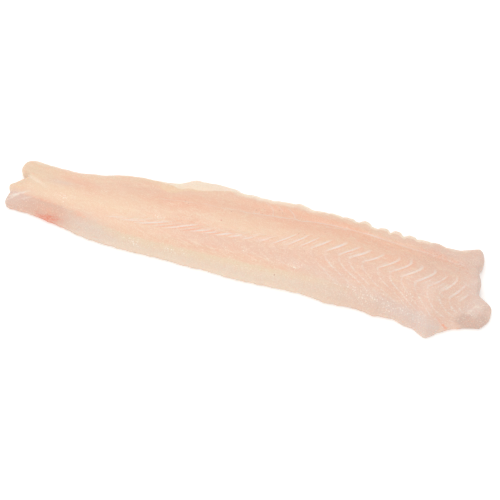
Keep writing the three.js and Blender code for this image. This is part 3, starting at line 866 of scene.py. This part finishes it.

# The sheets' edges, whitened further as painted highlights along their wet ridges, and the septum's
# threads, frayed at both sides.
white_stroke_and_highlight = wander(mark("stroke_off"), fray, 0.8).ramp(2, 0.8) * mark("stroke")
white_arm = mark("arm") * fray.ramp(0.3, 0.65) * blotch.ramp(0.25, 0.55)
thread_show = mark("thread") * wander(1, blotch, 1.1)
white_thread = wander(mark("thread_off"), fray, 0.8).ramp(1, 0.25) * thread_show
white_vein = wander(mark("vein_off"), fray, 0.4).ramp(0.8, 0.2)

# Painted glints where the flesh is wet, and the blood that has soaked in from a cut vessel.
painted_glint = wander(mark("glint"), blotch, 1).ramp(0.3, 0.9)
painted_fine_glint = painted_glint * 0.6 + grain.ramp(0.54, 0.64) * 0.4
blood = wander(wander(mark("blood"), grain, 1.6), powder, 2.4).ramp(0.35, 1.05)

# What is laid over the loin's colour, lowest first: [colour, strength, where]. The two numbers of a ramp
# are the values at which a layer is still away and fully there.
LAYERS = [
    # Soft patches of other flesh.
    [GOLD, 1, mark("gold")],
    [OLIVE, 1, mark("olive")],
    [MAUVE, 1, mark("mauve")],
    [HEAD_MAUVE, 0.8, along.ramp(0.68, 0.88)],
    [PINK, 1.15, mark("pink") * wander(1, mottle, 0.76).ramp(0, 1.6)],
    [OCHRE_CREAM, 0.8, mark("ochre")],
    [TIP_CREAM, 1, wander(mark("tips"), blotch, 0.8).ramp(0, 0.6)],
    # Pale streaks, one of them a painted highlight along the tail's ridge.
    [TIP_CREAM, 1, mark("pale")],
    [BROWN, 1, mark("brown") * (1 - side)],
    [PINK, 0.2, mottle.ramp(0.5, 0.7)],
    [GOLD, 0.25, blotch.ramp(0.52, 0.72)],
    # Streaks of the fibres, stronger in rosy flesh.
    [GRAIN_DEEP, 1, streak.ramp(0.5, 0.7) * (0.12 + mark("rosy") * 0.55)],
    [GRAIN_PALE, 1, streak.ramp(0.48, 0.3) * (0.16 + mark("rosy") * 0.3)],
    # The sheets and the septum, with painted shade under each sheet's edge.
    [SHADOW_ORANGE, 0.85, mark("shadow")],
    [SHEET_WHITE, 1, mark("hair") * fray.ramp(0.35, 0.65)],
    [SHEET_WHITE, 1, white_stroke_and_highlight],
    [SHEET_WHITE, 1, white_arm],
    [THREAD_WHITE, 1, white_thread],
    [THREAD_WHITE, 0.6, white_vein],
    # The pale side, the belly flap and the trimmed back edge.
    [SIDE_OLIVE, 1, side],
    [SIDE_PALE, 1, rim_side],
    # Painted shade on the tail's near wall, over its pinkish-grey flesh.
    [NEAR_MAUVE_SHADE, 1, shaded_tail_side],
    [LAVENDER, 1, mark("lavender") * wander(1, blotch, 1)],
    [BROWN, 1, mark("brown") * side],
    [FLAP_GREY, 0.9, wander(mark("flap"), blotch, 0.5).ramp(0.25, 0.7)],
    [LIP_CREAM, 1, wander(mark("lip_edge"), grain, 1.6).ramp(-1.2, 1) * mark("lip_show")],
    # Painted light: the fringe's cream is paler to offset the shade where the back edge rounds away.
    [FRINGE_CREAM_PAINTED_LIGHTER, 1, mark("fringe") * wander(0.45, blotch, 0.5)],
    # Blood, torn fibres and grains.
    [ORANGE, 1, mark("orange") * fray.ramp(0.3, 0.55)],
    [BLOOD_RED, 1, blood],
    [SHEET_WHITE, 0.8, mark("fibres") * fray.ramp(0.25, 0.6)],
    [ORANGE, 0.7, fine_speck.ramp(0.42, 0.25) * mark("rust")],
    [GRIT_GREY, 0.55, fine_speck.ramp(0.34, 0.2) * mark("grit")],
    [GRAIN_DEEP, 0.32, powder.ramp(0.5, 0.3)],
    [GRAIN_PALE, 0.6, powder.ramp(0.52, 0.75)],
    # Painted highlights: the glints of wet grains.
    [GLINT_CREAM, 1, speck.ramp(0.28, 0.14) * painted_glint],
    [GLINT_CREAM, 1, fine_speck.ramp(0.28, 0.12) * painted_fine_glint],
]
colour = LOIN
for laid, strength, where in LAYERS:
    colour = over(colour, laid, where * strength)

SPOTS = [  # dots of blood left in cut vessels: [x, y, radius]
    [-54.4, 14.7, 0.75], [-51, 13, 0.75], [-13.2, 15.5, 0.8], [5.9, 26.1, 0.7], [11.8, 23.5, 0.6],
    [24.5, 32.5, 0.7], [27.9, 30.5, 0.7], [48, 8.1, 0.6], [53.2, 8.5, 0.6], [57.5, -8.5, 0.6],
    [39, -33, 0.8], [68.8, 17.5, 0.55], [7.5, 29.3, 0.45], [12, 29.7, 0.45],
]
RED_SPOTS = [[-17.9, 2.25, 1]]
SPOT_STRENGTH = 0.55
SPOT_CORE = 0.4  # share of a spot's radius within which its colour is full

flat_place = place.node("ShaderNodeVectorMath", {"operation": "MULTIPLY"}, {0: place, 1: (1, 1, 0)})
for spots, spot_colour in ((SPOTS, SPOT_BROWN), (RED_SPOTS, SPOT_RED)):
    for spot_x, spot_y, radius in spots:
        centre = (Vector((spot_x, spot_y, 0)) - middle) * MM
        distance = place.node(
            "ShaderNodeVectorMath",
            {"operation": "DISTANCE"},
            {0: flat_place, 1: centre},
            output=1,
        )
        spot = distance.ramp(radius * MM, radius * MM * SPOT_CORE)
        colour = over(colour, spot_colour, spot * SPOT_STRENGTH)

RELIEF_DEPTH = 0.25
ROUGHNESS = 0.52
GLINT_SMOOTHER = 0.12  # how much less rough the wettest flesh is
MOTTLE_SMOOTHER = 0.1

relief = place.node(
    "ShaderNodeBump",
    {},
    {
        "Strength": 0.3,
        "Distance": RELIEF_DEPTH * MM,
        "Height": fibre * 0.6 + grain * 0.5 + speck.ramp(0.5, 0.1) * mark("glint"),
    },
)
surface = place.node(
    "ShaderNodeBsdfPrincipled",
    {},
    {
        "Base Color": colour,
        "Roughness": ROUGHNESS - mark("glint") * GLINT_SMOOTHER - mottle * MOTTLE_SMOOTHER,
        "IOR": 1.38,
        "Subsurface Weight": 0.2,
        "Subsurface Radius": (1, 0.5, 0.35),
        "Subsurface Scale": 0.0012,
        "Coat Weight": 0.1,
        "Coat Roughness": 0.3,
        "Normal": relief,
    },
)
output = tree.nodes.new("ShaderNodeOutputMaterial")
tree.links.new(surface.socket, output.inputs["Surface"])
flesh_mesh.materials.append(finish)

# ---- The table -------------------------------------------------------------------------------------
# A plain white light table, far wider than the camera's view, so that no edge of it shows there. Its
# glow softens the shadow where the flesh meets it.

TABLE_WIDTH = 6
TABLE_PALE = paint(250, 250, 249)
TABLE_ROUGHNESS = 0.9
TABLE_GLOW = 0.18

tabletop = bmesh.new()
bmesh.ops.create_grid(tabletop, x_segments=1, y_segments=1, size=TABLE_WIDTH / 2)
table_mesh = bpy.data.meshes.new("table")
tabletop.to_mesh(table_mesh)
tabletop.free()
table = bpy.data.objects.new("table", table_mesh)
bpy.context.scene.collection.objects.link(table)

table_finish = bpy.data.materials.new("pale_board")
table_finish.use_nodes = True
table_shader = table_finish.node_tree.nodes["Principled BSDF"]
table_shader.inputs["Base Color"].default_value = TABLE_PALE
table_shader.inputs["Roughness"].default_value = TABLE_ROUGHNESS
table_shader.inputs["Emission Color"].default_value = (1, 1, 1, 1)
table_shader.inputs["Emission Strength"].default_value = TABLE_GLOW
table_mesh.materials.append(table_finish)

# ---- The light -------------------------------------------------------------------------------------
# White walls all round light it evenly. A wide soft lamp over the tail end and a second, weaker one on
# the near side bring out the crown and the wet places.

ROOM_LIGHT = 0.6
LAMPS = [  # name, width in metres, watts, place
    ["overhead", 1.6, 13.5, (-0.4, 0.5, 1.6)],
    ["near_side", 1.4, 8.5, (0.2, -1.6, 0.9)],
]

room = bpy.data.worlds.new("room")
room.use_nodes = True
room.node_tree.nodes["Background"].inputs["Color"].default_value = (1, 1, 1, 1)
room.node_tree.nodes["Background"].inputs["Strength"].default_value = ROOM_LIGHT
bpy.context.scene.world = room

for name, wide, watts, at in LAMPS:
    lamp = bpy.data.lights.new(name, "AREA")
    lamp.size = wide
    lamp.energy = watts
    holder = bpy.data.objects.new(name, lamp)
    holder.location = at
    holder.rotation_euler = Vector(at).to_track_quat("Z", "Y").to_euler()
    bpy.context.scene.collection.objects.link(holder)

bpy.context.scene.view_settings.view_transform = "Standard"

# ---- The camera ------------------------------------------------------------------------------------
# It looks down over the belly side from a little to the right of the middle, through a long lens, with
# both cuts in view.

AZIMUTH = math.radians(17)
ELEVATION = math.radians(52)
DISTANCE = 0.819
AIM = Vector((0.0111, -0.01167, 0.0078))
LENS = 70

backwards = Vector((
    math.sin(AZIMUTH) * math.cos(ELEVATION),
    -math.cos(AZIMUTH) * math.cos(ELEVATION),
    math.sin(ELEVATION),
))
camera_data = bpy.data.cameras.new("camera")
camera_data.lens = LENS
camera = bpy.data.objects.new("camera", camera_data)
camera.location = AIM + backwards * DISTANCE
camera.rotation_euler = backwards.to_track_quat("Z", "Y").to_euler()
bpy.context.scene.collection.objects.link(camera)
bpy.context.scene.camera = camera
